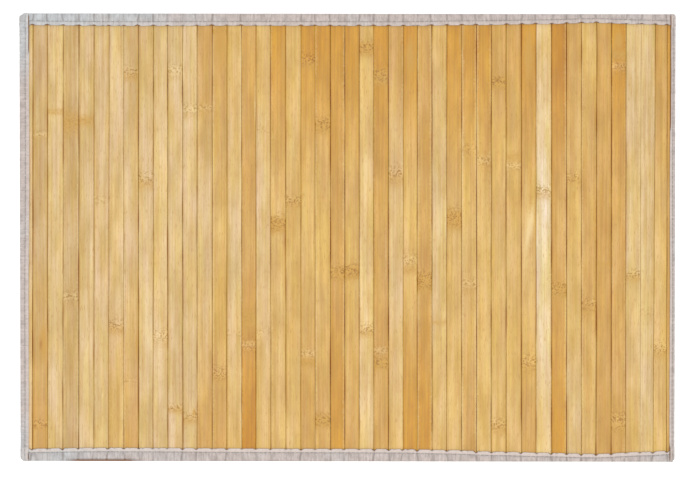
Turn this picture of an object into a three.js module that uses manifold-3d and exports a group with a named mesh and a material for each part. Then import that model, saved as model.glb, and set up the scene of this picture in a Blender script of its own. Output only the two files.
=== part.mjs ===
// A bamboo slat mat for a table: slats laid side by side, bound on all four edges with folded
// cloth tape. Millimetres. +X runs across the slats, +Y along them to the back edge, +Z up.
// The origin lies on the surface that the mat rests on, under the middle of the mat.

import * as THREE from 'three';
import { mergeVertices } from 'three/addons/utils/BufferGeometryUtils.js';
import Module from 'manifold-3d';

const wasm = await Module();
wasm.setup();

// The whole mat
const DEPTH = 300.2; // along Y, over the folds of the two long tapes
const OFF_SQUARE = 0.6; // how much nearer the back and front edges lie at the right end
const GAP = 0.3; // play between one piece and the next

// A slat's section
const SLAT = 2.0; // thickness in the middle of its crown
const SLAT_NOMINAL = 10; // the section is drawn at this width, then fitted to each slat
const ROUND_WIDE = 0.7; // rounding of the upper long edges, measured across
const ROUND_HIGH = 0.5; // and measured down
const CROWN = 0.1; // rise of the face from the rounding to the middle
const EASED = 0.3; // eased lower long edges

// The tape's section: a wall, a lower lap on the table and an upper lap on the slats
const TAPE = 1.0; // two plies of cloth with their edge turned in
const LAP_NOMINAL = 8; // the section is drawn at this lap, then fitted to each tape
const UNDER = TAPE + GAP + SLAT + GAP; // underside of the upper lap
const TOP = UNDER + TAPE; // top of the upper lap
const FOLD_WIDE = 0.9; // rounding of the upper fold, measured across
const FOLD_HIGH = 0.9; // and measured down
const FOOT_WIDE = 0.5; // rounding of the lower fold, measured across
const FOOT_HIGH = 0.6; // and measured up
const SEAM_DEEP = 0.4; // how far the stitching draws the lap down
const EDGE_DEEP = 0.2; // how far the lap's inner edge lies below its top
const SEAM_IN = 2.5; // from the inner edge back to the stitching

// Where the tape passes over a joint between two slats
const CREASE = 0.25; // mean depth of the crease in the upper lap
const CREASE_SPREAD = 0.12; // how much one crease differs from another
const CREASE_TURN = 2.4; // step from crease to crease in the wave that varies them
const SHOULDER = 1.8; // from the joint to where the tape is flat again
const NOTCH = 1.4; // set-back of the lap's inner edge, as a multiple of the crease depth

// The side tapes
const SIDE_WANDER = 0.15; // how far a side lap's inner edge strays from its line
const WANDER_TURN = 23; // length along the edge for one radian of that
const SIDE_STEPS = 8; // stretches between the two crossings
const CROSSING = TAPE + GAP; // rise of a side lap where it lies over a long tape
const RAMP = 2.5; // length of the rise
const CLEAR = 0.2; // more room between the rise and the long tape

const TONES = {
  cream: 0xe8d3a6,
  straw: 0xe0bf86,
  blush: 0xdfbb8c,
  tan: 0xd6a96c,
  honey: 0xd9a557,
  amber: 0xcf9344,
};
const CLOTH = 0xcac6cb;

// Each slat from left to right: its pitch at the back and at the front, and its tone
const SLATS = [
  { back: 7.9, front: 6.7, tone: 'straw' },
  { back: 9.7, front: 10.2, tone: 'amber' },
  { back: 10.7, front: 10.1, tone: 'straw' },
  { back: 10.4, front: 10.7, tone: 'tan' },
  { back: 10.1, front: 10.2, tone: 'straw' },
  { back: 10.3, front: 9.8, tone: 'blush' },
  { back: 9.7, front: 10.1, tone: 'straw' },
  { back: 9.8, front: 10.1, tone: 'blush' },
  { back: 10.1, front: 9.7, tone: 'tan' },
  { back: 9.5, front: 9.9, tone: 'straw' },
  { back: 10.1, front: 10.1, tone: 'tan' },
  { back: 9.7, front: 9.5, tone: 'blush' },
  { back: 10.2, front: 10.3, tone: 'tan' },
  { back: 9.9, front: 9.6, tone: 'straw' },
  { back: 9.7, front: 10.1, tone: 'straw' },
  { back: 9.7, front: 9.5, tone: 'honey' },
  { back: 9.7, front: 10.1, tone: 'straw' },
  { back: 10.2, front: 10.1, tone: 'straw' },
  { back: 10.3, front: 9.9, tone: 'straw' },
  { back: 9.4, front: 9.7, tone: 'honey' },
  { back: 10.3, front: 10.3, tone: 'honey' },
  { back: 9.7, front: 9.5, tone: 'tan' },
  { back: 9.7, front: 9.7, tone: 'honey' },
  { back: 9.7, front: 9.8, tone: 'cream' },
  { back: 9.8, front: 9.9, tone: 'honey' },
  { back: 10.1, front: 9.7, tone: 'straw' },
  { back: 9.4, front: 9.5, tone: 'honey' },
  { back: 9.7, front: 10.0, tone: 'tan' },
  { back: 10.1, front: 9.7, tone: 'blush' },
  { back: 10.0, front: 10.1, tone: 'straw' },
  { back: 9.9, front: 10.1, tone: 'honey' },
  { back: 9.9, front: 9.7, tone: 'honey' },
  { back: 9.9, front: 10.1, tone: 'tan' },
  { back: 10.3, front: 10.2, tone: 'straw' },
  { back: 9.9, front: 9.9, tone: 'honey' },
  { back: 10.3, front: 10.5, tone: 'cream' },
  { back: 10.1, front: 9.9, tone: 'amber' },
  { back: 10.1, front: 9.9, tone: 'tan' },
  { back: 10.3, front: 9.8, tone: 'straw' },
  { back: 9.9, front: 10.2, tone: 'tan' },
  { back: 9.7, front: 9.7, tone: 'tan' },
  { back: 10.1, front: 9.7, tone: 'cream' },
  { back: 9.6, front: 8.8, tone: 'straw' },
  { back: 8.0, front: 9.0, tone: 'straw' },
  { back: 4.5, front: 4.3, tone: 'honey' },
];

// How far each tape laps over the slats, from its fold to its inner edge, at places along it
const BACK_LAP = [
  { at: -220, lap: 7.8 },
  { at: -156, lap: 8.3 },
  { at: -62, lap: 8.0 },
  { at: 30, lap: 8.1 },
  { at: 85, lap: 7.4 },
  { at: 130, lap: 6.7 },
  { at: 166, lap: 5.8 },
  { at: 196, lap: 6.7 },
  { at: 220, lap: 7.3 },
];
const FRONT_LAP = [
  { at: -220, lap: 8.0 },
  { at: -164, lap: 8.7 },
  { at: -35, lap: 8.2 },
  { at: 30, lap: 8.1 },
  { at: 65, lap: 7.5 },
  { at: 102, lap: 6.4 },
  { at: 132, lap: 5.7 },
  { at: 166, lap: 5.0 },
  { at: 199, lap: 6.4 },
  { at: 220, lap: 7.4 },
];
const LEFT_LAP = [
  { at: -150, lap: 5.2 },
  { at: 150, lap: 6.3 },
];
const RIGHT_LAP = [
  { at: -150, lap: 3.7 },
  { at: 150, lap: 3.9 },
];

// The four corners, where the tapes are clipped off: side, end, and the clip's two legs
const CLIPS = [
  { side: -1, end: 1, across: 3.0, along: 2.0 },
  { side: 1, end: 1, across: 1.0, along: 1.0 },
  { side: -1, end: -1, across: 2.5, along: 1.7 },
  { side: 1, end: -1, across: 2.0, along: 1.7 },
];

// The joint lines: where each slat's share begins, at the back and at the front
function jointLines(end) {
  const total = SLATS.reduce((sum, slat) => sum + slat[end], 0);
  const lines = [-total / 2];
  for (const slat of SLATS) {
    lines.push(lines[lines.length - 1] + slat[end]);
  }
  return lines;
}
const BACK_LINES = jointLines('back');
const FRONT_LINES = jointLines('front');

// The x of a joint line at any y between the front and the back
function lineAt(number, y) {
  return THREE.MathUtils.lerp(FRONT_LINES[number], BACK_LINES[number], y / DEPTH + 0.5);
}

// The x of the mat's left or right edge: outside the wall of the side tape
function sideEdge(side, y) {
  const number = side < 0 ? 0 : SLATS.length;
  return lineAt(number, y) + side * (GAP / 2 + TAPE);
}

// A tape's lap at one place, eased from one row of its table to the next
function lapAt(table, at) {
  const next = Math.max(1, table.findIndex((row) => row.at >= at));
  const from = table[next - 1];
  const to = table[next];
  const eased = THREE.MathUtils.smoothstep(at, from.at, to.at);
  return THREE.MathUtils.lerp(from.lap, to.lap, eased);
}

// Extrudes a section in steps and puts each of its points in place:
// place(across, up, step) gives x, y and z. Its normals and maps go, so that corners merge.
function drawn(section, steps, place) {
  const geometry = new THREE.ExtrudeGeometry(section, { depth: 1, steps, bevelEnabled: false });
  const points = geometry.attributes.position;
  for (let i = 0; i < points.count; i += 1) {
    const step = Math.round(points.getZ(i) * steps);
    points.setXYZ(i, ...place(points.getX(i), points.getY(i), step));
  }
  geometry.deleteAttribute('normal');
  geometry.deleteAttribute('uv');
  return mergeVertices(geometry);
}

// Takes each tool away from the body
function cut(body, tools) {
  const solid = (geometry) => new wasm.Manifold(new wasm.Mesh({
    numProp: 3,
    vertProperties: geometry.attributes.position.array,
    triVerts: new Uint32Array(geometry.index.array),
  }));
  const left = tools.reduce((rest, tool) => rest.subtract(solid(tool)), solid(body));
  const { vertProperties, triVerts } = left.getMesh();
  const geometry = new THREE.BufferGeometry();
  geometry.setAttribute('position', new THREE.BufferAttribute(vertProperties, 3));
  geometry.setIndex(new THREE.BufferAttribute(triVerts, 1));
  return geometry;
}

// A finished piece: the mat's slight lean out of square, its name and its finish
function piece(name, geometry, color, roughness) {
  const lean = new THREE.Matrix4();
  lean.elements[1] = -OFF_SQUARE / (BACK_LINES[SLATS.length] - BACK_LINES[0]);
  geometry.applyMatrix4(lean);
  geometry.computeVertexNormals();
  const mesh = new THREE.Mesh(
    geometry,
    new THREE.MeshStandardMaterial({ color, roughness, metalness: 0 }),
  );
  mesh.name = name;
  return mesh;
}

// A slat's section: eased below, rounded above, with a low crown
function slatSection() {
  const half = SLAT_NOMINAL / 2;
  const section = new THREE.Shape();
  section.moveTo(EASED - half, 0);
  section.lineTo(half - EASED, 0);
  section.lineTo(half, EASED);
  section.lineTo(half, SLAT - CROWN - ROUND_HIGH);
  section.lineTo(half - ROUND_WIDE, SLAT - CROWN);
  section.lineTo(0, SLAT);
  section.lineTo(ROUND_WIDE - half, SLAT - CROWN);
  section.lineTo(-half, SLAT - CROWN - ROUND_HIGH);
  section.lineTo(-half, EASED);
  return section;
}

// One slat between two joint lines, its ends in the folds of the long tapes
function slat(number) {
  const ends = [DEPTH / 2 - TAPE - GAP, TAPE + GAP - DEPTH / 2];
  const geometry = drawn(slatSection(), 1, (across, up, step) => {
    const y = ends[step];
    const left = lineAt(number, y) + GAP / 2;
    const right = lineAt(number + 1, y) - GAP / 2;
    const widen = Math.sign(across) * (right - left - SLAT_NOMINAL) / 2;
    return [(left + right) / 2 + across + widen, y, TAPE + GAP + up];
  });
  const name = `slat_${String(number + 1).padStart(2, '0')}`;
  return piece(name, geometry, TONES[SLATS[number].tone], 0.5);
}

// The tape's section, drawn from its fold inwards, round the wall and both laps
function tapeSection() {
  const section = new THREE.Shape();
  section.moveTo(FOOT_WIDE, 0);
  section.lineTo(LAP_NOMINAL, 0);
  section.lineTo(LAP_NOMINAL, TAPE);
  section.lineTo(TAPE, TAPE);
  section.lineTo(TAPE, UNDER);
  section.lineTo(LAP_NOMINAL, UNDER);
  section.lineTo(LAP_NOMINAL, TOP - EDGE_DEEP);
  section.lineTo(LAP_NOMINAL - SEAM_IN, TOP - SEAM_DEEP);
  section.lineTo(FOLD_WIDE, TOP);
  section.lineTo(0, TOP - FOLD_HIGH);
  section.lineTo(0, FOOT_HIGH);
  return section;
}

// How far in from the fold a point of the section lies where the lap is this wide
function inward(across, lap) {
  return across > TAPE ? across + lap - LAP_NOMINAL : across;
}

// The wedge that is clipped off the tapes at a corner
function clipWedge({ side, end, across, along }) {
  const beyond = 1; // the wedge sticks out past the edges, on the same slope
  const section = new THREE.Shape();
  section.moveTo(-beyond, -beyond);
  section.lineTo(across * (1 + beyond / along), -beyond);
  section.lineTo(-beyond, along * (1 + beyond / across));
  const x = sideEdge(side, end * DEPTH / 2);
  const y = end * DEPTH / 2;
  const wedge = drawn(section, 1, (inX, inY, step) => [
    x - side * inX,
    y - end * inY,
    step ? TOP + 2 * CROSSING : -beyond,
  ]);
  if (side * end < 0) {
    wedge.index.array.reverse(); // these two corners are mirrored, which turns the faces inwards
  }
  return wedge;
}

// A long tape, folded over the slats' ends, creased and notched at every joint.
// end is 1 at the back and -1 at the front.
function longTape(name, end, laps) {
  const lines = end > 0 ? BACK_LINES : FRONT_LINES;
  const stations = [{ x: lines[0] + GAP / 2, crease: 0 }];
  for (let joint = 1; joint < SLATS.length; joint += 1) {
    const crease = CREASE + CREASE_SPREAD * Math.sin(CREASE_TURN * joint * end);
    stations.push({ x: lines[joint] - SHOULDER, crease: 0 });
    stations.push({ x: lines[joint], crease });
    stations.push({ x: lines[joint] + SHOULDER, crease: 0 });
  }
  stations.push({ x: lines[SLATS.length] - GAP / 2, crease: 0 });
  if (end > 0) {
    stations.reverse(); // the section faces the other way here, so it is drawn the other way
  }

  const body = drawn(tapeSection(), stations.length - 1, (across, up, step) => {
    const { x, crease } = stations[step];
    const upper = up > UNDER;
    const notch = up >= UNDER && across === LAP_NOMINAL ? crease * NOTCH : 0;
    const inside = inward(across, lapAt(laps, x)) - notch;
    return [x, end * (DEPTH / 2 - inside), upper ? up - crease : up];
  });
  const clips = CLIPS.filter((clip) => clip.end === end);
  return piece(name, cut(body, clips.map(clipWedge)), CLOTH, 0.9);
}

// A side tape, folded over the outer slat's long edge and over the ends of the long tapes.
// side is -1 at the left and 1 at the right.
function sideTape(name, side, laps) {
  const outer = lineAt(side < 0 ? 0 : SLATS.length, 0);
  const backEdge = DEPTH / 2 - lapAt(BACK_LAP, outer);
  const frontEdge = lapAt(FRONT_LAP, outer) - DEPTH / 2;
  const backTop = backEdge - GAP - CLEAR;
  const frontTop = frontEdge + GAP + CLEAR;
  const stations = [{ y: DEPTH / 2, rise: CROSSING }, { y: backTop, rise: CROSSING }];
  for (let i = 0; i <= SIDE_STEPS; i += 1) {
    const y = THREE.MathUtils.lerp(backTop - RAMP, frontTop + RAMP, i / SIDE_STEPS);
    stations.push({ y, rise: 0 });
  }
  stations.push({ y: frontTop, rise: CROSSING }, { y: -DEPTH / 2, rise: CROSSING });
  if (side > 0) {
    stations.reverse(); // as on the long tapes
  }

  const body = drawn(tapeSection(), stations.length - 1, (across, up, step) => {
    const { y, rise } = stations[step];
    const inside = inward(across, lapAt(laps, y) + SIDE_WANDER * Math.sin(y / WANDER_TURN));
    return [sideEdge(side, y) - side * inside, y, up > TAPE ? up + rise : up];
  });

  // Under the crossings the long tape's lower lap takes this one's place on the table
  const bite = TAPE / 20; // the room is cut this far into the wall, clear of its inner face
  const rooms = [[backEdge, 1], [frontEdge, -1]].map(([edge, end]) => {
    const room = new THREE.BoxGeometry(LAP_NOMINAL, LAP_NOMINAL * 2, TAPE * 2 + GAP);
    room.translate(
      sideEdge(side, edge) - side * (TAPE - bite + LAP_NOMINAL / 2),
      edge + end * (LAP_NOMINAL - GAP),
      GAP / 2,
    );
    room.deleteAttribute('normal');
    room.deleteAttribute('uv');
    return mergeVertices(room);
  });
  const clips = CLIPS.filter((clip) => clip.side === side).map(clipWedge);
  return piece(name, cut(body, [...rooms, ...clips]), CLOTH, 0.9);
}

const mat = new THREE.Group();
SLATS.forEach((row, number) => mat.add(slat(number)));
mat.add(longTape('binding_back', 1, BACK_LAP));
mat.add(longTape('binding_front', -1, FRONT_LAP));
mat.add(sideTape('binding_left', -1, LEFT_LAP));
mat.add(sideTape('binding_right', 1, RIGHT_LAP));

export default mat;
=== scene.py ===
# A bamboo slat mat for a table, lying flat and seen from straight above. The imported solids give
# every piece its place, and all sizes are in metres.
import bisect
import math
import random
from collections import namedtuple

import bmesh
import bpy
from mathutils import Color, Matrix, Vector, noise


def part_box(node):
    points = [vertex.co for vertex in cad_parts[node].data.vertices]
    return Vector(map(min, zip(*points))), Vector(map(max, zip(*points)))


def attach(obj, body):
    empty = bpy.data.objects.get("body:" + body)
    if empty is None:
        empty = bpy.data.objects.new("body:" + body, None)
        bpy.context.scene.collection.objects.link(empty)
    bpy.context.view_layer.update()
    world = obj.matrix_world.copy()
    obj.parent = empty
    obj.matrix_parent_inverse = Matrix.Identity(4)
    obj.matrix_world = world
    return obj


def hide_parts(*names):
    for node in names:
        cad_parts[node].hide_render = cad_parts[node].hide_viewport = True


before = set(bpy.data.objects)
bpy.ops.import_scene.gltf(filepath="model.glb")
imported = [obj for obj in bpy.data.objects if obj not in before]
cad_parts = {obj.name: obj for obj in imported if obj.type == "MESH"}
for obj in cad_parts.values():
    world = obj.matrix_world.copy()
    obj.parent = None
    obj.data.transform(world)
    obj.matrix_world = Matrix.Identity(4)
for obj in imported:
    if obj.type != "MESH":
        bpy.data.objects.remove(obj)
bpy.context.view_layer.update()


# The slats are strips split from the wall of a bamboo cane, planed flat, eased along their edges
# and lacquered. Each keeps the tone of its own cane, which changes along it, and the growth rings
# where the cane had its joints. They lie edge to edge and are held by their ends alone; the shade
# in the joints between them is painted on their walls.
MM = 0.001
# The tones of the canes, as they look on a screen
TONES = {
    "cream": (0.89, 0.80, 0.62),
    "pale": (0.87, 0.74, 0.50),
    "wheat": (0.835, 0.71, 0.485),
    "blush": (0.84, 0.71, 0.495),
    "straw": (0.835, 0.68, 0.385),
    "dun": (0.785, 0.65, 0.42),
    "tan": (0.795, 0.615, 0.305),
    "honey": (0.785, 0.562, 0.11),
    "amber": (0.76, 0.52, 0.0),
}
# A ring is this far down from the mat's back edge and this high, in millimetres
Ring = namedtuple("Ring", "down high look")
# A mark is a streak, pale, dark or deep brown: down and high as above, across from -1 at the left
# edge to 1, wide in the same measure, and lean is how far across it runs over its height
# The pale marks that run along a slat's edge, at across 0.88 or more either side, are painted
# highlights on its rounded edge
Mark = namedtuple("Mark", "down high across wide look lean", defaults=[0.28, "dark", 0])
# A slat's tones at its back end, middle and front end, and the joint on its right
Slat = namedtuple("Slat", "back middle front rings marks joint", defaults=[(), (), "plain"])
SLATS = [
    Slat("wheat", "blush", "pale", joint="open"),
    Slat("dun", "dun", "tan", [Ring(81, 4, "pale"), Ring(275, 7, "speckled")],
         [Mark(118, 5, 0.1, 0.12), Mark(222, 9, 0.1, 0.2, "deep"), Mark(222, 46, 0.5, 1.0)]),
    Slat("wheat", "wheat", "wheat", [Ring(66, 3, "line")]),
    Slat("dun", "dun", "dun", [Ring(74, 26, "shade"), Ring(190, 9, "pale")], joint="open"),
    Slat("wheat", "wheat", "wheat", [Ring(72, 9, "shade")]),
    Slat("wheat", "blush", "wheat", [Ring(125, 8, "faint")], [Mark(256, 4, 0.2, 0.16, "pale")],
         joint="tight"),
    Slat("wheat", "blush", "straw", [Ring(209, 9, "speckled")], joint="tight"),
    Slat("dun", "blush", "tan", [Ring(39, 9, "speckled"), Ring(246, 5, "faint")],
         [Mark(150, 14, -0.98, 0.1, "deep"), Mark(222, 30, 0.75)], joint="open"),
    Slat("dun", "wheat", "wheat", [Ring(110, 11, "speckled")]),
    Slat("wheat", "pale", "wheat", [Ring(216, 10, "pale")], joint="open"),
    Slat("wheat", "wheat", "blush", [Ring(38, 8, "pale"), Ring(264, 5, "speckled")],
         [Mark(232, 4, 0.3, 0.16)], joint="open"),
    Slat("wheat", "blush", "wheat", [Ring(64, 8, "pale"), Ring(270, 7, "speckled")],
         [Mark(33, 50, -0.9, 0.1, "pale"), Mark(268, 10, 0.6, 0.4)]),
    Slat("tan", "wheat", "tan", [Ring(63, 5, "pale")]),
    Slat("tan", "straw", "tan", [Ring(12, 3, "dark"), Ring(241, 10, "speckled")],
         [Mark(18, 56, 0, 1.2)], joint="tight"),
    Slat("straw", "wheat", "straw", [Ring(214, 5, "faint")]),
    Slat("tan", "tan", "amber", [Ring(205, 20, "dark"), Ring(222, 9, "pale")],
         [Mark(60, 45, 0.9, 0.1, "pale"), Mark(78, 20, -0.2)]),
    Slat("straw", "blush", "straw", [Ring(78, 4, "faint"), Ring(213, 7, "faint")]),
    Slat("honey", "straw", "straw", [Ring(140, 13, "amber")],
         [Mark(30, 60, 0.7, 0.5), Mark(138, 24, 0.7), Mark(152, 24, 0.92, 0.25, "deep"),
          Mark(170, 56, 0.95, 0.12)]),
    Slat("straw", "straw", "straw", [Ring(125, 8, "speckled")], joint="tight"),
    Slat("honey", "straw", "tan", [Ring(30, 11, "speckled"), Ring(228, 7, "pale"),
                                   Ring(234, 6, "dark")],
         [Mark(122, 4, -0.7)], joint="tight"),
    Slat("honey", "straw", "tan", [Ring(74, 11, "amber"), Ring(272, 9, "amber")], joint="open"),
    Slat("honey", "tan", "honey", [Ring(173, 11, "amber")], [Mark(124, 12, 0.3)], joint="open"),
    Slat("honey", "straw", "tan", [Ring(172, 11, "amber")], [Mark(271, 5, 0.2)]),
    Slat("straw", "pale", "pale", [Ring(22, 10, "amber"), Ring(211, 8, "speckled")],
         joint="tight"),
    Slat("honey", "tan", "tan", [Ring(41, 12, "amber"), Ring(226, 7, "pale"),
                                 Ring(234, 8, "amber")],
         [Mark(165, 80, 0.65, 0.12, "pale"), Mark(266, 20, 0.85)], joint="open"),
    Slat("tan", "blush", "straw", [Ring(106, 14, "speckled")], joint="tight"),
    Slat("honey", "straw", "honey", [Ring(165, 10, "pale"), Ring(172, 7, "line")],
         [Mark(28, 36, 0, 0.9)]),
    Slat("tan", "tan", "honey", [Ring(178, 16, "amber")], joint="open"),
    Slat("straw", "wheat", "straw", [Ring(207, 3, "line")], [Mark(137, 60, 0.88, 0.12, "pale")]),
    Slat("honey", "straw", "straw", [Ring(136, 16, "amber")], [Mark(18, 20, 0.8, 0.3)]),
    Slat("honey", "straw", "tan", [Ring(90, 12, "faint"), Ring(181, 8, "pale")],
         [Mark(18, 24, -0.8, 0.3), Mark(70, 14, 0.2, 0.6)], joint="open"),
    Slat("honey", "straw", "straw", [Ring(98, 9, "pale")], joint="open"),
    Slat("tan", "straw", "straw", [Ring(45, 9, "amber"), Ring(275, 10, "speckled")],
         [Mark(133, 6, 0.2, 0.16)], joint="open"),
    Slat("tan", "straw", "straw", [Ring(96, 7, "line"), Ring(102, 5, "pale")], joint="open"),
    Slat("honey", "straw", "tan", [Ring(233, 13, "speckled")],
         [Mark(30, 50, 0, 0.9), Mark(144, 48, 0.1, 0.7, "pale", -1.4)]),
    Slat("pale", "cream", "pale", [Ring(118, 9, "speckled")],
         [Mark(60, 200, 0.88, 0.14, "pale")], joint="open"),
    Slat("amber", "tan", "honey", [Ring(184, 11, "amber")], joint="open"),
    Slat("tan", "straw", "wheat", [Ring(109, 8, "speckled")], [Mark(121, 10, 0, 0.35)]),
    Slat("straw", "tan", "straw", [Ring(194, 11, "speckled")], joint="open"),
    Slat("tan", "tan", "tan", [Ring(168, 2, "line")], joint="open"),
    Slat("honey", "tan", "tan", [Ring(27, 8, "dark"), Ring(35, 9, "pale"),
                                 Ring(273, 16, "speckled")], [Mark(18, 20, 0, 0.9)]),
    Slat("wheat", "wheat", "straw", [Ring(174, 8, "speckled")],
         [Mark(185, 170, 0.88, 0.12, "pale")], joint="tight"),
    Slat("wheat", "wheat", "wheat", [Ring(200, 4, "faint")], joint="tight"),
    Slat("tan", "straw", "straw", [Ring(224, 10, "speckled")]),
    Slat("honey", "tan", "tan"),
]
# How strongly each look of ring shows flecks, a paler tone and a darker one, and how far below the
# ring's middle the darker one lies, as a share of its height
Look = namedtuple("Look", "fleck pale dark below")
LOOKS = {
    "speckled": Look(1.0, 0.15, 0.55, 0.4),
    "amber": Look(1.0, 0.0, 1.2, 0.15),
    "pale": Look(0.9, 0.4, 0.3, 0.6),
    "dark": Look(0.25, 0.0, 1.0, 0),
    "shade": Look(0.3, 0.0, 0.65, 0),
    "line": Look(0.2, 0.0, 0.6, 0),
    "faint": Look(0.5, 0.1, 0.1, 0),
}
# How much wider each kind of joint lets the slats beside it be, and how dark the painted shade on its
# walls is
JOINTS = {"open": (0.115 * MM, 1.0), "plain": (0.14 * MM, 0.75), "tight": (0.15 * MM, 0.35)}
LIGHT = 1.63  # how brightly the mat is lit: colours are named as they look in that light
END_IN = 1.3  # from the mat's back edge to the slat's end, in millimetres
ROUNDING = 0.4 * MM  # of the upper long edges
EASING = 0.3 * MM  # of the lower long edges
CROWN = 0.12 * MM  # the face's rise from its edges to its middle
ROLL = 0.07 * MM  # how far a slat may lie tilted, at its edge
SINK = 0.1 * MM  # how much lower than the highest a slat may lie
SWAY = 0.12 * MM  # how far a joint strays from its line
GAPE = 0.12 * MM  # how far a sawn edge may draw back from the joint
SWAY_LONG = 45 * MM
SWELL = 0.16 * MM  # rise of the face at a growth ring
RINGS_CUT = 148  # cuts along a slat, about 2 mm apart
COLUMNS_CUT = 9  # cuts across its face
EDGE_HIGHLIGHT_TO_DARK = (-0.9, 0.75)  # from the strongest painted highlight along a slat's upper edge to the darkest edge
EDGE_WALL_SHADE = 0.8  # how much of its wall's painted shade a slat's upper edge shows
DEEP_BROWN = 0.8  # how dark a deep brown mark is, in the same measure


def slat_ends(node):
    """The x of a slat's left and right edge and the y of its end, at the front and at the back."""
    points = [vertex.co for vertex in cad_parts[node].data.vertices]
    ends = []
    for side in (-1, 1):
        here = [p for p in points if p.y * side > 0]
        across = [p.x for p in here]
        ends.append((min(across), max(across), sum(p.y for p in here) / len(here)))
    return ends


def add_node(tree, kind, inputs=(), **settings):
    """A shader node with its inputs set or linked; gives back its outputs."""
    made = tree.nodes.new(kind)
    for name, value in settings.items():
        setattr(made, name, value)
    for name, value in dict(inputs).items():
        if isinstance(value, bpy.types.NodeSocket):
            tree.links.new(value, made.inputs[name])
        else:
            made.inputs[name].default_value = value
    return made.outputs


def new_material(name):
    """An empty material, its node tree, and its shader with the surface linked."""
    material = bpy.data.materials.new(name)
    material.use_nodes = True
    tree = material.node_tree
    tree.nodes.clear()
    shader = tree.nodes.new("ShaderNodeBsdfPrincipled")
    add_node(tree, "ShaderNodeOutputMaterial", {"Surface": shader.outputs["BSDF"]})
    return material, tree, shader


def as_seen(red, green, blue):
    """The colour of a surface that looks like this on a screen in the mat's light."""
    linear = Color((red, green, blue)).from_srgb_to_scene_linear()
    return (*(linear / LIGHT), 1)


def stretched_noise(tree, own_map, across, along, detail):
    """Noise on the piece's own map, drawn out to these lengths."""
    place = add_node(tree, "ShaderNodeUVMap", uv_map=own_map)["UV"]
    inputs = {0: place, 1: (1 / across, 1 / along, 1)}
    drawn = add_node(tree, "ShaderNodeVectorMath", inputs, operation="MULTIPLY")["Vector"]
    texture = {"Vector": drawn, "Scale": 1.0, "Detail": detail, "Roughness": 0.6}
    return add_node(tree, "ShaderNodeTexNoise", texture, noise_dimensions="2D")["Fac"]


def speckled(tree, own_map, across, along):
    """A different chance value for every small ragged cell of the piece's own map."""
    place = add_node(tree, "ShaderNodeUVMap", uv_map=own_map)["UV"]
    inputs = {0: place, 1: (1 / across, 1 / along, 1)}
    drawn = add_node(tree, "ShaderNodeVectorMath", inputs, operation="MULTIPLY")["Vector"]
    frayed = add_node(tree, "ShaderNodeTexNoise", {"Vector": drawn, "Scale": 1.6, "Detail": 3.0},
                      noise_dimensions="2D")["Color"]
    inputs = {0: frayed, 1: (1.3, 1.3, 0), 2: drawn}
    drawn = add_node(tree, "ShaderNodeVectorMath", inputs, operation="MULTIPLY_ADD")["Vector"]
    cells = add_node(tree, "ShaderNodeTexVoronoi", {"Vector": drawn, "Scale": 1.0},
                     voronoi_dimensions="2D")["Color"]
    return add_node(tree, "ShaderNodeSeparateColor", {0: cells})["Red"]


def spread(tree, value, low, high, to_low=0.0, to_high=1.0):
    """A value spread from one range to another and held at its ends."""
    inputs = {"Value": value, 1: low, 2: high, 3: to_low, 4: to_high}
    return add_node(tree, "ShaderNodeMapRange", inputs, clamp=True)["Result"]


def maths(tree, operation, first, second):
    """The sum, product and so on of two values."""
    return add_node(tree, "ShaderNodeMath", {0: first, 1: second}, operation=operation)["Value"]


def laid_over(tree, share, below, above, blend="MIX"):
    """One colour laid over another."""
    inputs = {0: share, 6: below, 7: above}
    return add_node(tree, "ShaderNodeMix", inputs, data_type="RGBA", blend_type=blend)[2]


def summed(tree, *parts):
    """The sum of several values, each with its weight."""
    total = None
    for value, weight in parts:
        part = maths(tree, "MULTIPLY", value, weight)
        total = part if total is None else maths(tree, "ADD", total, part)
    return total


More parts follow.
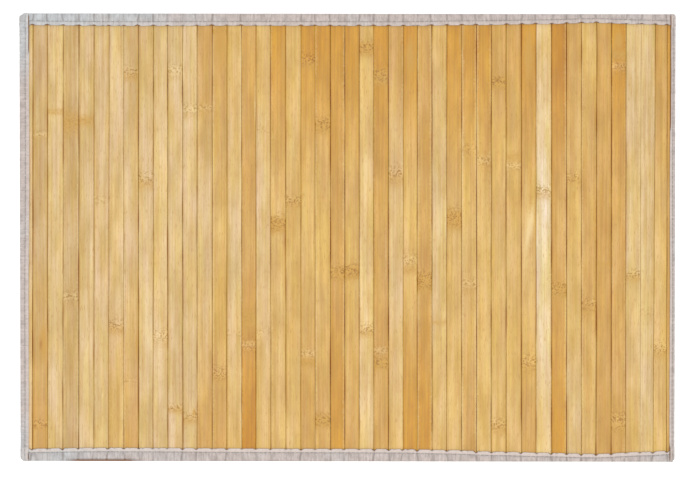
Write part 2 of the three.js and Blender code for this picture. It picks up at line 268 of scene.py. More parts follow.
def lacquered_bamboo():
    """Bamboo under a thin satin lacquer: fine fibres, drawn-out bands and flecked growth rings."""
    material, tree, shader = new_material("lacquered_bamboo")
    own = {
        name: add_node(tree, "ShaderNodeAttribute", attribute_name=name)
        for name in ("tone", "fleck", "pale", "dark", "joint_shade_and_brown")
    }
    fibres = stretched_noise(tree, "grain", 0.6 * MM, 30 * MM, 3.0)
    strands = stretched_noise(tree, "grain", 1.5 * MM, 80 * MM, 2.0)
    bands = stretched_noise(tree, "grain", 4.5 * MM, 190 * MM, 1.0)
    drifts = stretched_noise(tree, "grain", 8 * MM, 22 * MM, 3.0)
    patches = stretched_noise(tree, "grain", 13 * MM, 45 * MM, 2.0)
    hues = stretched_noise(tree, "grain", 7.3 * MM, 60 * MM, 2.0)
    blushes = stretched_noise(tree, "grain", 2.4 * MM, 38 * MM, 2.0)
    pores = stretched_noise(tree, "grain", 0.5 * MM, 5 * MM, 1.0)
    clumps = stretched_noise(tree, "grain", 1.6 * MM, 1.5 * MM, 2.0)
    flecks = speckled(tree, "grain", 0.8 * MM, 0.75 * MM)

    shade = spread(tree, summed(tree, (fibres, 0.28), (strands, 0.36), (bands, 0.18),
                                (drifts, 0.18)), 0.40, 0.60)
    tint = laid_over(tree, shade, (0.85, 0.795, 0.65, 1), (1.06, 1.09, 1.17, 1))
    colour = laid_over(tree, 1.0, own["tone"]["Color"], tint, "MULTIPLY")
    hue = laid_over(tree, spread(tree, hues, 0.35, 0.65), (1.0, 0.985, 0.80, 1),
                    (0.99, 1.0, 1.16, 1))
    colour = laid_over(tree, 1.0, colour, hue, "MULTIPLY")
    blush = laid_over(tree, spread(tree, blushes, 0.38, 0.62), (0.985, 1.01, 0.95, 1),
                      (1.015, 0.99, 1.03, 1))
    colour = laid_over(tree, 1.0, colour, blush, "MULTIPLY")
    patch = laid_over(tree, spread(tree, patches, 0.38, 0.62), (0.92, 0.89, 0.78, 1),
                      (1.05, 1.06, 1.10, 1))
    colour = laid_over(tree, 1.0, colour, patch, "MULTIPLY")
    colour = laid_over(tree, spread(tree, pores, 0.63, 0.74, 0, 0.45), colour,
                       as_seen(0.66, 0.45, 0.2))

    rough = summed(tree, (clumps, 0.6), (drifts, 0.4))
    masks = [spread(tree, maths(tree, "ADD", own[name]["Fac"], rough), 0.65, 1.4, 0, most)
             for name, most in (("pale", 0.7), ("dark", 1.0))]
    # Paler rings and streaks, and painted highlights along some slats' upper edges
    colour = laid_over(tree, masks[0], colour, as_seen(0.92, 0.81, 0.58))
    colour = laid_over(tree, masks[1], colour, as_seen(0.76, 0.575, 0.23))
    spots = maths(tree, "MULTIPLY", spread(tree, flecks, 0.6, 0.8), own["fleck"]["Fac"])
    colour = laid_over(tree, spots, colour, (0.63, 0.50, 0.19, 1), "MULTIPLY")
    glints = maths(tree, "MULTIPLY", spread(tree, flecks, 0.4, 0.2), own["fleck"]["Fac"])
    colour = laid_over(tree, glints, colour, (1.09, 1.11, 1.17, 1), "MULTIPLY")
    # Painted shade on the joint walls between slats and on the rounded edges beside them, and deep
    # brown streaks
    colour = laid_over(tree, own["joint_shade_and_brown"]["Fac"], colour, as_seen(0.60, 0.34, 0.02))

    relief = summed(tree, (fibres, 0.5), (pores, -0.5), (spots, -0.2))
    bump = {"Height": relief, "Strength": 0.5, "Distance": 0.08 * MM}
    tree.links.new(colour, shader.inputs["Base Color"])
    tree.links.new(spread(tree, fibres, 0.3, 0.7, 0.42, 0.54), shader.inputs["Roughness"])
    tree.links.new(add_node(tree, "ShaderNodeBump", bump)["Normal"], shader.inputs["Normal"])
    shader.inputs["Specular IOR Level"].default_value = 0.25
    return material


def eased(part):
    """0 to 1 with a soft start and end."""
    part = min(1, max(0, part))
    return part * part * (3 - 2 * part)


def hump(distance, reach):
    """1 at the middle of something, falling away smoothly to nothing past its reach."""
    return math.exp(-2 * (distance / reach) ** 2)


def tone_at(tones, share):
    """The slat's tone at a share of its length from the back end."""
    first = min(1, int(share * 2))
    return tones[first].lerp(tones[first + 1], eased(share * 2 - first))


def marks_at(row, down, across):
    """How strongly the slat's rings and marks show flecks, a paler tone or a painted edge highlight,
    a darker and a deep brown tone here, and how far its face swells."""
    fleck = pale = dark = deep = swell = 0
    for ring in row.rings:
        look = LOOKS[ring.look]
        near = hump(down - ring.down, ring.high / 2 + 1)
        below = hump(down - ring.down - ring.high * look.below, ring.high / 2 + 2)
        fleck = max(fleck, near * look.fleck)
        pale = max(pale, near * look.pale)
        dark = max(dark, below * look.dark)
        swell = max(swell, hump(down - ring.down, 3.5) * near)
    for mark in row.marks:
        middle = mark.across + mark.lean * (down - mark.down) / mark.high
        near = hump(down - mark.down, mark.high / 2) * hump(across - middle, mark.wide)
        if mark.look == "pale":
            pale = max(pale, near)
        elif mark.look == "deep":
            deep = max(deep, near)
        else:
            dark = max(dark, near)
    return fleck, pale, dark, deep, swell


def shape_slat(bm, row, number, front, back, low, high, wall_shades):
    """Gives the blank its crown, its lie, its uneven edges, its growth rings and its tones, and
    paints shade on its joint walls and highlights along some upper edges. The pair after high says
    how dark the painted shade on its left and right walls is."""
    chance = random.Random(number)
    tones = [Vector(as_seen(*TONES[name])) for name in row[:3]]
    edges = [chance.uniform(*EDGE_HIGHLIGHT_TO_DARK) for side in wall_shades]
    roll = chance.uniform(-ROLL, ROLL)
    sink = chance.uniform(0, SINK)
    tone = bm.verts.layers.float_color.new("tone")
    layers = [bm.verts.layers.float.new(name) for name in ("fleck", "pale", "dark", "joint_shade_and_brown")]
    for vert in bm.verts:
        spot = vert.co
        share = (back[2] - spot.y) / (back[2] - front[2])
        left = back[0] + (front[0] - back[0]) * share
        right = back[1] + (front[1] - back[1]) * share
        across = (2 * spot.x - left - right) / (right - left)
        upper = spot.z > (low.z + high.z) / 2
        down = share * (back[2] - front[2]) / MM + END_IN
        *shown, deep, swell = marks_at(row, down, across)
        side = 1 if across > 0 else 0
        along = spot.y / SWAY_LONG
        patchy = noise.noise(Vector(((number + side) * 1.7, along * 2, 9)))
        # Painted shade on the joint walls, patchy along the joint; the upper edge takes a little of
        # it next to the wall
        joint_shade_and_brown = wall_shades[side] * max(0.1, 0.7 + 1.9 * patchy)
        if upper:
            joint_shade_and_brown *= max(0, abs(across) - 0.9) / 0.1 * EDGE_WALL_SHADE * (1 - shown[1])
            # An upper edge below 0 gets a painted highlight, one above 0 a darker edge
            shown[1] = max(shown[1], -edges[side] * across ** 4)
            shown[2] = max(shown[2], edges[side] * across ** 4)
            joint_shade_and_brown = max(joint_shade_and_brown, DEEP_BROWN * deep)
        vert[tone] = tone_at(tones, min(1, max(0, share)))
        for layer, value in zip(layers, (*shown, joint_shade_and_brown)):
            vert[layer] = value
        sway = SWAY * noise.noise(Vector(((number + side) * 3.7, along, 0)))
        gape = GAPE * max(0, noise.noise(Vector((number * 5.1 + side * 2.3, along * 2, 4))))
        spot.x += (sway - math.copysign(gape, across)) * across * across
        if upper:
            spot.z += CROWN * (1 - across * across) + swell * SWELL
        spot.z += roll * across - sink


def grain_map(bm, number, front, back):
    """Lays the slat's own map on it, in metres: across and along, in a place of its own."""
    layer = bm.loops.layers.uv.new("grain")
    middle = (front[0] + front[1] + back[0] + back[1]) / 4
    for face in bm.faces:
        for loop in face.loops:
            spot = loop.vert.co
            loop[layer].uv = (spot.x - middle + number * 0.031, spot.y + number * 0.73)


def finished(name, bm, material, nodes=()):
    """The piece that a bmesh makes: smooth, in its material, on the mat's body."""
    mesh = bpy.data.meshes.new(name)
    bm.to_mesh(mesh)
    bm.free()
    mesh.shade_smooth()
    mesh.materials.append(material)
    piece = bpy.data.objects.new(name, mesh)
    bpy.context.scene.collection.objects.link(piece)
    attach(piece, "root")
    if nodes:
        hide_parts(*nodes)
    return piece


bamboo = lacquered_bamboo()
slats = []
joints = {"front": [], "back": []}
for number, row in enumerate(SLATS, 1):
    node = f"slat_{number:02d}"
    front, back = slat_ends(node)
    low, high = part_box(node)
    joints["front"].append(front[1])
    joints["back"].append(back[1])
    beside = [JOINTS[SLATS[number - 2].joint] if number > 1 else JOINTS["plain"],
              JOINTS[row.joint]]
    front, back = [(left - beside[0][0], right + beside[1][0], y)
                   for left, right, y in (front, back)]

    blank = bmesh.new()
    bmesh.ops.create_cube(blank, size=1)
    for vert in blank.verts:
        end = back if vert.co.y > 0 else front
        edge = end[0] if vert.co.x < 0 else end[1]
        vert.co = (edge, end[2], high.z - CROWN if vert.co.z > 0 else low.z)
    lengthwise = [e for e in blank.edges if e.calc_length() > 0.1]
    upper = [e for e in lengthwise if e.verts[0].co.z > low.z + MM]
    lower = [e for e in lengthwise if e not in upper]
    bmesh.ops.bevel(blank, geom=upper, offset=ROUNDING, segments=3, profile=0.5,
                    affect="EDGES", material=-1)
    bmesh.ops.bevel(blank, geom=lower, offset=EASING, segments=1, profile=0.5,
                    affect="EDGES", material=-1)
    crosswise = [e for e in blank.edges if e.calc_length() > 2 * MM and e.calc_length() < 0.1
                 and min(v.co.z for v in e.verts) > high.z - CROWN - 0.01 * MM]
    bmesh.ops.subdivide_edges(blank, edges=crosswise, cuts=COLUMNS_CUT, use_grid_fill=True)
    lengthwise = [e for e in blank.edges if e.calc_length() > 0.1]
    bmesh.ops.subdivide_edges(blank, edges=lengthwise, cuts=RINGS_CUT, use_grid_fill=True)
    shape_slat(blank, row, number, front, back, low, high, [dark for wider, dark in beside])
    grain_map(blank, number, front, back)
    slats.append(finished(f"bamboo_{number:02d}", blank, bamboo, [node]))


# The long bindings are cotton tape, folded lengthwise over the slats' ends with both raw edges
# turned in, and sewn through. The cloth sinks into every joint between two slats, so that it is
# creased there from the fold to the seam, and its inner edge is scalloped.
CLOTH = 0.75 * MM  # two plies, pressed
LOWER_POINTS = 6  # of the tape's section, from the lower lap's inner edge to the fold
UNDER_TURN = 0.4 * MM  # width of the lower lap's turned-up inner edge
UNDER_RISE = 0.15 * MM
SEAM_DEEP = 0.4 * MM  # how far the seam draws the cloth in
SEAM_WIDE = 0.55 * MM  # from the seam to where the cloth is level again
LIP_WIDE = 0.8 * MM  # width of the upper lap's turned-down inner edge
LIP_DEEP = 0.32 * MM  # how far it is turned down
PUFF = 0.14 * MM  # how far the cloth stands up between the fold and the seam
FOLD_UP = 0.5 * MM  # radius of the upper fold
FOLD_DOWN = 0.7 * MM  # and of the lower one
FOLD_STEPS = 4
CREASE_DEEP = 0.45 * MM  # the deepest crease
CREASE_WIDE = 0.7 * MM
CREASE_STRAY = 0.4 * MM  # how far a crease may lie from its joint
CREASE_SLANT = 1.1 * MM  # how far it may run along the tape, from the inner edge to the fold
SHADOW_AND_DIRT_WIDE = 1.9 * MM  # of the painted shadow, with some dirt, on the inner edge at a crease
SHADOW_AND_DIRT_MOST = 3.4  # how dark that painted shadow and dirt is at its darkest, as a Point has it
BROWN_LINE = 2.4  # and the front fold's brown line
BROWN_LINE_FADE = 12 * MM  # length of the brown line's ends
EDGE_SHADOW_FADE = 5 * MM  # length of the ends of a stretch of painted shadow along the inner edge
NOTCH = 0.8 * MM  # set-back of the inner edge at the deepest crease
NOTCH_WIDE = 1.3 * MM
SCALLOP = 0.3 * MM  # how far the inner edge reaches out between creases
RIPPLE = 0.07 * MM  # unevenness of the cloth
RIPPLE_LONG = 7 * MM
STATION = 0.6 * MM  # from one section of the tape to the next
CLIMB = 1.2 * MM  # rise of a side tape onto a long one
CLIMB_LONG = 2.5 * MM
FOOT_LINE = 0.6 * MM  # the height at which a packed tape's wall begins
LAP_LEAST = 2.5 * MM  # narrower than any lap
END_BACK = 0.2 * MM  # how far a long tape's end lies behind the clipped corner
SEAM_FADE = 3 * MM  # length over which the seam's valley runs out at the tape's ends
STITCH_PITCH = 3.1 * MM
STITCH_LONG = 2.3 * MM
STITCH_WIDE = 0.38 * MM
STITCH_HIGH = 0.3 * MM
BACK_SEAM = 2.75 * MM  # from the lap's inner edge to the seam
FRONT_SEAM = 2.4 * MM
FRONT_BROWN_LINE = (-192 * MM, -137 * MM)  # where the front fold has a reddish brown line, along x
COOL_WIDE = 150 * MM  # how far from the left corners the cloth's grey is bluish, along x
COOL_LONG = 60 * MM  # and along y
LAP_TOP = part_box("binding_back")[1].z
Clip = namedtuple("Clip", "across along")
CLIPS = {
    ("left", "back"): Clip(3.0 * MM, 2.0 * MM),
    ("right", "back"): Clip(1.0 * MM, 1.0 * MM),
    ("left", "front"): Clip(2.5 * MM, 1.7 * MM),
    ("right", "front"): Clip(2.0 * MM, 1.7 * MM),
}
# A point of a tape's skin: how far inward of the fold, how high, and its wear and shade: below 0
# painted shade, in creases, in the seam's valley and under the inner edge, where some dirt is mixed
# in; past -1 brown, the shadow and dirt under the inner edge or the front fold's brown line; above 0
# worn pale and painted light
Point = namedtuple("Point", "inward up wear")
Crease = namedtuple("Crease", "at depth slant")


class Tape:
    """A folded tape. s runs along it with the mat's outside on the right hand, and a place on it
    is s, how far inward of the fold it lies, and its height. pale is how pale its inner edge is,
    worn and lit with painted light, scalloped how strongly that edge is scalloped, its listed dark
    stretches are where a painted shadow lies along the inner edge, and drawn is how far its fold
    and its inner edge are drawn in."""

    def __init__(self, node, outward, seam_in, joints=(), clips=None, brown_line_span=(0, 0), edge_shadow=(),
                 pale=0.5, scalloped=1, drawn=(0, 0)):
        self.outward = Vector(outward)
        self.along = Vector((0, 0, 1)).cross(self.outward)
        self.seam_in = seam_in
        self.clips = clips
        self.brown_line_span = brown_line_span
        self.edge_shadow = edge_shadow
        self.pale = pale
        self.scalloped = scalloped
        self.drawn = (0, 0)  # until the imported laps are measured
        self.seed = len(node) + 10 * sum(outward)
        chance = random.Random(node)
        points = [vertex.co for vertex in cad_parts[node].data.vertices]
        spots = [(p.dot(self.along), p.dot(self.outward), p.z) for p in points]
        self.start = min(spot[0] for spot in spots)
        self.end = max(spot[0] for spot in spots)
        foot = sorted(spot for spot in spots if abs(spot[2] - FOOT_LINE) < 0.01 * MM
                      and abs(spot[0]) < 0.95 * self.end)
        self.slope = (foot[-1][1] - foot[0][1]) / (foot[-1][0] - foot[0][0])
        self.offset = foot[0][1] - self.slope * foot[0][0]
        self.laps = sorted((s, self.fold(s) - d) for s, d, up in spots
                           if up < 0.01 * MM and self.fold(s) - d > LAP_LEAST)
        self.drawn = drawn
        self.creases = []
        for at in joints:
            slant = chance.uniform(-1, 1) * CREASE_SLANT
            stray = chance.uniform(-1, 1) * CREASE_STRAY
            self.creases.append(Crease(at + stray, chance.uniform(0.25, 1), slant))
            if chance.random() < 0.6:
                beside = chance.uniform(1.5, 4.5) * MM
                self.creases.append(Crease(at + beside, chance.uniform(0.1, 0.3), -slant))
        self.creases.sort()

    def fold(self, s):
        """How far the fold line lies from the mat's middle."""
        return self.offset + self.slope * s - self.drawn[0]

    def lap(self, s):
        """The lap's width, from the fold to the inner edge."""
        after = min(max(1, bisect.bisect(self.laps, (s, 0))), len(self.laps) - 1)
        (s0, lap0), (s1, lap1) = self.laps[after - 1:after + 1]
        part = min(1, max(0, (s - s0) / max(s1 - s0, 0.01 * MM)))
        return lap0 + (lap1 - lap0) * part - sum(self.drawn)

    def climb(self, s):
        """How high a side tape has climbed onto the long tape that it crosses."""
        if self.clips is None:
            return 0
        beyond = max(self.laps[0][0] - s, s - self.laps[-1][0])
        return CLIMB * eased(1.1 + beyond / CLIMB_LONG)

    def clip(self, s):
        """How far the fold line is drawn in by the clipped corners."""
        if self.clips is None:
            return 0
        first, last = self.clips
        return max(0, first.across * (1 - (s - self.start) / first.along),
                   last.across * (1 - (self.end - s) / last.along))

    def crease(self, s, out=0, wide=CREASE_WIDE):
        """How deeply the cloth is creased, from 0 to 1. out is 0 at the inner edge, 1 at the fold."""
        near = bisect.bisect(self.creases, (s, 0))
        beside = self.creases[max(0, near - 1):near + 1]
        return max([crease.depth * hump(s - crease.at - crease.slant * out, wide)
                    for crease in beside], default=0)

    def seam_depth(self, s):
        """The valley of the seam is deepest where the needle went through."""
        pulled = 0.8 + 0.2 * math.cos((s - self.start) / STITCH_PITCH * math.tau)
        return SEAM_DEEP * pulled * eased(min(s - self.start, self.end - s) / SEAM_FADE)

    def skin(self, s):
        """The outer skin at s, from the lower lap's inner edge round the fold to the upper's."""
        crease = self.crease(s)
        folded = self.crease(s, 1)
        browned = BROWN_LINE * eased(min(s - self.brown_line_span[0], self.brown_line_span[1] - s) / BROWN_LINE_FADE)
        lap = self.lap(s)
        seam = lap - self.seam_in
        level = LAP_TOP + self.climb(s)
        top = level - crease * CREASE_DEEP
        notch = self.crease(s, 0, NOTCH_WIDE)
        edge = lap + self.scalloped * (SCALLOP * (1 - notch) - NOTCH * notch)
        edge += 1.5 * RIPPLE * noise.noise(Vector((s / RIPPLE_LONG, self.seed, 5)))
        # The seam's valley under the tape is darkened with painted shade
        skin = [Point(lap, UNDER_RISE, 0), Point(lap - UNDER_TURN, 0, 0),
                Point(seam + SEAM_WIDE, 0, 0), Point(seam, SEAM_DEEP / 2, -0.4),
                Point(seam - SEAM_WIDE, 0, 0),
                Point((seam - SEAM_WIDE + FOLD_DOWN) / 2, 0, 0)]
        for step in range(FOLD_STEPS + 1):
            turn = math.pi / 2 * step / FOLD_STEPS
            skin.append(Point(FOLD_DOWN * (1 - math.sin(turn)),
                              FOLD_DOWN * (1 - math.cos(turn)), 0))
        # The upper fold is a little darker all along, darker still with painted shade in its creases,
        # and brown along the front fold's brown line
        for step in range(FOLD_STEPS + 1):
            turn = math.pi / 2 * step / FOLD_STEPS
            skin.append(Point(FOLD_UP * (1 - math.cos(turn)),
                              level - folded * CREASE_DEEP - FOLD_UP * (1 - math.sin(turn)),
                              -0.1 - min(0.9, 2 * folded) - browned))
        # A painted shadow, with some dirt in the notches, lies under the inner edge at the creases
        # and along the listed dark stretches
        shadow_and_dirt = min(1, 2.2 * self.crease(s, 0, SHADOW_AND_DIRT_WIDE))
        shadow_and_dirt = SHADOW_AND_DIRT_MOST * max([shadow_and_dirt] + [eased(min(s - start, end - s) / EDGE_SHADOW_FADE)
                                      for start, end in self.edge_shadow])
        puff = PUFF * (1 - crease)
        # Between the fold and the seam the cloth is darkened with painted shade in its creases
        for part in (0.33, 0.67):
            here = self.crease(s, 1 - part * 0.6)
            lift = PUFF * (1 - here) - here * CREASE_DEEP
            lift += RIPPLE * noise.noise(Vector((s / RIPPLE_LONG, part * 3, self.seed)))
            skin.append(Point(FOLD_UP + (seam - SEAM_WIDE - FOLD_UP) * part, level + lift,
                              -min(1, 2 * here)))
        deep = self.seam_depth(s)
        # Beside the seam the cloth is darkened with painted shade in its valley and its creases; the
        # inner edge is worn pale and lit with painted light, and darkened by the painted shadow and
        # dirt found above
        skin += [Point(seam - SEAM_WIDE, top + puff / 2, -min(1, 2 * crease)),
                 Point(seam - SEAM_WIDE * 0.45, top - deep * 0.6, -0.15 - crease * 0.5),
                 Point(seam, top - deep, -0.25 - crease * 0.5),
                 Point(seam + SEAM_WIDE * 0.45, top - deep * 0.6, 0),
                 Point(seam + SEAM_WIDE, top, 0.8 * self.pale),
                 Point(edge - LIP_WIDE, top + puff / 3, self.pale - crease),
                 Point(edge - LIP_WIDE * 0.625, top - 0.03 * MM, 1.2 * self.pale - 0.765 * shadow_and_dirt),
                 Point(edge - LIP_WIDE * 0.275, top - 0.1 * MM, 1.3 * self.pale - shadow_and_dirt),
                 Point(edge, top - LIP_DEEP, self.pale - shadow_and_dirt)]
        return skin

    def place(self, s, inward, up):
        """The same place in the mat's own frame."""
        clip = self.clip(s)
        inward = clip + inward * (1 - clip / self.lap(s))
        return self.along * s + self.outward * (self.fold(s) - inward) + Vector((0, 0, up))


def folded_cloth(tape):
    """The tape's outer skin, with its map in metres, its wear and painted shade and light, and how
    bluish its grey is.
    """
    steps = round((tape.end - tape.start) / STATION)
    stations = [tape.start + (tape.end - tape.start) * i / steps for i in range(steps + 1)]
    skins = [tape.skin(s) for s in stations]
    bm = bmesh.new()
    bmesh.ops.create_grid(bm, x_segments=steps, y_segments=len(skins[0]) - 1, size=0.5)
    layer = bm.loops.layers.uv.new("weave")
    wear = bm.verts.layers.float.new("wear")
    cool = bm.verts.layers.float.new("cool")
    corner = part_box("binding_left")[1]
    spans = []
    for skin in skins:
        lengths = [0]
        for here, there in zip(skin, skin[1:]):
            lengths.append(lengths[-1] + math.dist(here[:2], there[:2]))
        spans.append(lengths)
    foot = LOWER_POINTS + FOLD_STEPS  # the point where the lower fold meets the wall
    where = {}
    for vert in bm.verts:
        i = round((vert.co.x + 0.5) * steps)
        j = round((vert.co.y + 0.5) * (len(skins[0]) - 1))
        where[vert] = (i, j)
        inward, up, vert[wear] = skins[i][j]
        vert.co = tape.place(stations[i], inward, up)
        away = math.hypot((vert.co.x - corner.x) / COOL_WIDE, (abs(vert.co.y) - corner.y) / COOL_LONG)
        vert[cool] = eased(1.1 - away) * (1 if vert.co.y > 0 else 0.5)
    for face in bm.faces:
        for loop in face.loops:
            i, j = where[loop.vert]
            loop[layer].uv = (stations[i], spans[i][j] - spans[i][foot])
    return bm, where, stations


def seam_stitches(tape, skip_under=lambda s: False):
    """The seam's stitches, above and below the tape."""
    seam = bmesh.new()
    chance = random.Random(tape.seed)
    for number in range(int((tape.end - tape.start) / STITCH_PITCH)):
        middle = tape.start + (number + 0.5) * STITCH_PITCH
        slant = chance.uniform(-0.06, 0.06) * MM
        for side in ("above",) if skip_under(middle) else ("above", "below"):
            ends = []
            for end in (-1, 1):
                s = middle + end * STITCH_LONG / 2
                up = STITCH_HIGH / 2
                if side == "above":
                    up = LAP_TOP + tape.climb(s) - tape.crease(s) * CREASE_DEEP
                    up += STITCH_HIGH * 0.35 - SEAM_DEEP * 0.8
                ends.append(tape.place(s, tape.lap(s) - tape.seam_in + end * slant, up))
            long = (ends[1] - ends[0]) / 2
            wide = Vector((0, 0, 1)).cross(long).normalized() * STITCH_WIDE / 2
            high = long.cross(wide).normalized() * STITCH_HIGH / 2
            lie = Matrix((long, wide, high)).transposed().to_4x4()
            lie.translation = (ends[0] + ends[1]) / 2
            stitch = one_stitch.copy()
            stitch.transform(lie)
            seam.from_mesh(stitch)
            bpy.data.meshes.remove(stitch)
    return seam


def cotton_tape():
    """Cotton tape in plain weave, pale grey with faint blue and pink stains, darkened with painted
    shade in its creases, along its seam and under its inner edge, where some dirt is mixed in,
    and with its inner edge worn pale and lit with painted light."""
    material, tree, shader = new_material("cotton_tape")
    wear = add_node(tree, "ShaderNodeAttribute", attribute_name="wear")["Fac"]
    cool = add_node(tree, "ShaderNodeAttribute", attribute_name="cool")["Fac"]
    place = add_node(tree, "ShaderNodeUVMap", uv_map="weave")["UV"]
    parts = add_node(tree, "ShaderNodeSeparateXYZ", {0: place})
    yarn = 0.42 * MM
    waves = [maths(tree, "SINE", maths(tree, "MULTIPLY", parts[axis], math.pi / yarn), 0)
             for axis in ("X", "Y")]
    weave = maths(tree, "MULTIPLY", *waves)
    slubs = stretched_noise(tree, "weave", 0.9 * MM, 3.2 * MM, 2.0)
    clouds = stretched_noise(tree, "weave", 6 * MM, 5 * MM, 3.0)
    crumples = stretched_noise(tree, "weave", 1.3 * MM, 7 * MM, 2.0)
    stains = stretched_noise(tree, "weave", 40 * MM, 20 * MM, 3.0)

    bluish = spread(tree, summed(tree, (cool, 0.6), (stains, 0.8)), 0.45, 0.95)
    colour = laid_over(tree, bluish, as_seen(0.785, 0.735, 0.715), as_seen(0.77, 0.78, 0.79))
    # Slubs and clouds of colour, and the painted light and shade of fine wrinkles
    mottle_and_wrinkle_shade = summed(tree, (slubs, 0.25), (clouds, 0.35), (crumples, 0.4))
    tint = laid_over(tree, spread(tree, mottle_and_wrinkle_shade, 0.38, 0.62), (0.76, 0.75, 0.74, 1),
                     (1.11, 1.11, 1.10, 1))
    colour = laid_over(tree, 1.0, colour, tint, "MULTIPLY")
    # A worn pale inner edge, lit with painted light
    colour = laid_over(tree, spread(tree, wear, 0, 1, 0, 0.6), colour, as_seen(0.89, 0.83, 0.79))
    # Painted shade in the creases, in the seam's valley and under the inner edge
    colour = laid_over(tree, spread(tree, wear, 0, -1, 0, 0.6), colour, as_seen(0.52, 0.48, 0.46))
    # Deeper painted shadow with some dirt under the inner edge, and the front fold's brown line
    colour = laid_over(tree, spread(tree, wear, -1.1, -2.3, 0, 0.9), colour,
                       as_seen(0.5, 0.31, 0.13))
    threads = spread(tree, weave, -1, 1, 0.90, 1.04)
    colour = add_node(tree, "ShaderNodeVectorMath", {0: colour, "Scale": threads},
                      operation="SCALE")["Vector"]

    relief = summed(tree, (weave, 0.5), (slubs, 0.8), (crumples, 1.5))
    bump = {"Height": relief, "Strength": 0.7, "Distance": 0.12 * MM}
    tree.links.new(colour, shader.inputs["Base Color"])
    tree.links.new(add_node(tree, "ShaderNodeBump", bump)["Normal"], shader.inputs["Normal"])
    shader.inputs["Roughness"].default_value = 0.9
    shader.inputs["Specular IOR Level"].default_value = 0.2
    shader.inputs["Sheen Weight"].default_value = 0.15
    return material


def cotton_thread():
    """Grey sewing thread, its twist showing as a fine uneven bump."""
    material, tree, shader = new_material("cotton_thread")
    place = add_node(tree, "ShaderNodeTexCoord")["Object"]
    hairs = {"Vector": place, "Scale": 1 / (0.25 * MM), "Detail": 2.0}
    rough = add_node(tree, "ShaderNodeTexNoise", hairs)["Fac"]
    colour = laid_over(tree, rough, as_seen(0.46, 0.46, 0.43), as_seen(0.62, 0.61, 0.57))
    bump = {"Height": rough, "Strength": 0.6, "Distance": 0.06 * MM}
    tree.links.new(colour, shader.inputs["Base Color"])
    tree.links.new(add_node(tree, "ShaderNodeBump", bump)["Normal"], shader.inputs["Normal"])
    shader.inputs["Roughness"].default_value = 0.75
    return material


def give_thickness(piece):
    """Gives the tape's skin the thickness of its cloth, inwards."""
    wall = piece.modifiers.new("two_plies", "SOLIDIFY")
    wall.thickness = CLOTH
    wall.offset = -1
    wall.use_even_offset = True


cloth = cotton_tape()
thread = cotton_thread()
one_stitch = bpy.data.meshes.new("one_stitch")
ball = bmesh.new()
bmesh.ops.create_uvsphere(ball, u_segments=8, v_segments=6, radius=1)
ball.to_mesh(one_stitch)
ball.free()
for name, toward, seam_in, look in (
        ("back", 1, BACK_SEAM, {"pale": 0.3, "scalloped": 0.4}),
        ("front", -1, FRONT_SEAM, {"pale": 1.0, "brown_line_span": FRONT_BROWN_LINE})):
    node = f"binding_{name}"
    creased = [-toward * x for x in joints[name][:-1]]
    tape = Tape(node, (0, toward, 0), seam_in, creased, **look)
    skin, _, _ = folded_cloth(tape)
    for side in (-1, 1):
        clip = CLIPS["left" if side < 0 else "right", name]
        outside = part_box("binding_left")[0].x if side < 0 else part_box("binding_right")[1].x
        away = Vector((side * clip.along, toward * clip.across, 0)).normalized()
        corner = Vector((outside - side * clip.across, toward * tape.fold(-toward * outside), 0))
        bmesh.ops.bisect_plane(skin, geom=[*skin.verts, *skin.edges, *skin.faces],
                               plane_co=corner - away * END_BACK, plane_no=away,
                               clear_outer=True)
    piece = finished(f"tape_{name}", skin, cloth, [node])
    give_thickness(piece)
    stitches = finished(f"stitches_{name}", seam_stitches(tape), thread)


# The side bindings are the same tape, narrower in view, folded over the outer slats' long edges
# and over the ends of the long bindings. They climb onto those ends, and their corners are clipped.
LEFT_SEAM = 2.3 * MM
RIGHT_SEAM = 1.5 * MM
RIGHT_DRAWN = (0.25 * MM, 0.4 * MM)  # how far its fold and its inner edge are drawn in
LEFT_EDGE_SHADOW = [(-152 * MM, -122 * MM), (142 * MM, 152 * MM)]  # stretches of its inner edge under a painted shadow
RIGHT_EDGE_SHADOW = [(-152 * MM, -137 * MM), (70 * MM, 152 * MM)]
for name, toward, seam_in, flat_wide, outer_slat, ends, look in (
        ("left", -1, LEFT_SEAM, 0.016, slats[0], ("back", "front"), {"edge_shadow": LEFT_EDGE_SHADOW}),
        ("right", 1, RIGHT_SEAM, 0.012, slats[-1], ("front", "back"),
         {"edge_shadow": RIGHT_EDGE_SHADOW, "drawn": RIGHT_DRAWN})):
    node = f"binding_{name}"
    clips = [CLIPS[name, end] for end in ends]
    tape = Tape(node, (toward, 0, 0), seam_in, clips=clips, **look)
    skin, where, stations = folded_cloth(tape)
    first, last = tape.laps[0][0], tape.laps[-1][0]
    crossing = [face for face in skin.faces
                if all(where[vert][1] <= LOWER_POINTS for vert in face.verts)
                and not all(first <= stations[where[vert][0]] <= last for vert in face.verts)]
    bmesh.ops.delete(skin, geom=crossing, context="FACES")
    piece = finished(f"tape_{name}", skin, cloth, [node])
    give_thickness(piece)
    seam = seam_stitches(tape, skip_under=lambda s: not first < s < last)
    stitches = finished(f"stitches_{name}", seam, thread)


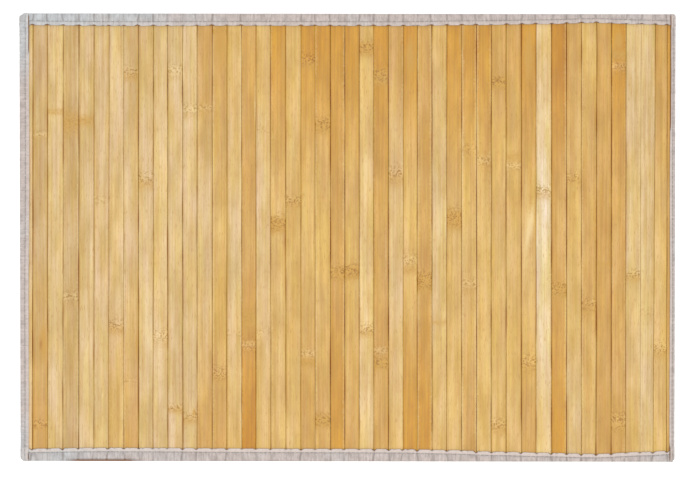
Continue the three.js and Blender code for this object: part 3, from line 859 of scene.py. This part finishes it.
# The mat lies on a plain white table top under soft studio light, and the camera looks
# straight down at it.
FLOOR_WIDE = 6.0
FLOOR_GREY = 0.95
FLOOR_DROP = 0.1 * MM  # the floor's distance below the mat
VIEW_WIDE = 469.5 * MM  # what the picture's width takes in at the mat's top
VIEW_HIGH = 2.4  # the camera's height above the mat
VIEW_MIDDLE = Vector((1.54 * MM, -1.95 * MM, 4 * MM))
SKY = 0.95
LAMP_WIDE = 1.8
LAMP_POWER = 57
LAMP_PLACE = Vector((0.05, -0.15, 2.3))

floor_mesh = bmesh.new()
bmesh.ops.create_grid(floor_mesh, x_segments=1, y_segments=1, size=FLOOR_WIDE / 2)
bmesh.ops.translate(floor_mesh, verts=floor_mesh.verts, vec=(0, 0, -FLOOR_DROP))
mesh = bpy.data.meshes.new("table_top")
floor_mesh.to_mesh(mesh)
floor_mesh.free()
white, tree, shader = new_material("white_table_top")
shader.inputs["Base Color"].default_value = (FLOOR_GREY, FLOOR_GREY, FLOOR_GREY, 1)
shader.inputs["Roughness"].default_value = 0.8
mesh.materials.append(white)
floor = bpy.data.objects.new("table_top", mesh)
bpy.context.scene.collection.objects.link(floor)

world = bpy.data.worlds.new("studio")
world.use_nodes = True
world.node_tree.nodes["Background"].inputs["Color"].default_value = (1, 1, 1, 1)
world.node_tree.nodes["Background"].inputs["Strength"].default_value = SKY
bpy.context.scene.world = world

lamp = bpy.data.lights.new("soft_box", "AREA")
lamp.shape = "SQUARE"
lamp.size = LAMP_WIDE
lamp.energy = LAMP_POWER
soft_box = bpy.data.objects.new("soft_box", lamp)
soft_box.location = LAMP_PLACE
soft_box.rotation_euler = LAMP_PLACE.to_track_quat("Z", "Y").to_euler()
bpy.context.scene.collection.objects.link(soft_box)

lens = bpy.data.cameras.new("camera")
lens.sensor_fit = "HORIZONTAL"
lens.angle = 2 * math.atan(VIEW_WIDE / 2 / VIEW_HIGH)
camera = bpy.data.objects.new("camera", lens)
camera.location = VIEW_MIDDLE + Vector((0, 0, VIEW_HIGH))
bpy.context.scene.collection.objects.link(camera)
bpy.context.scene.camera = camera
bpy.context.scene.view_settings.view_transform = "Standard"
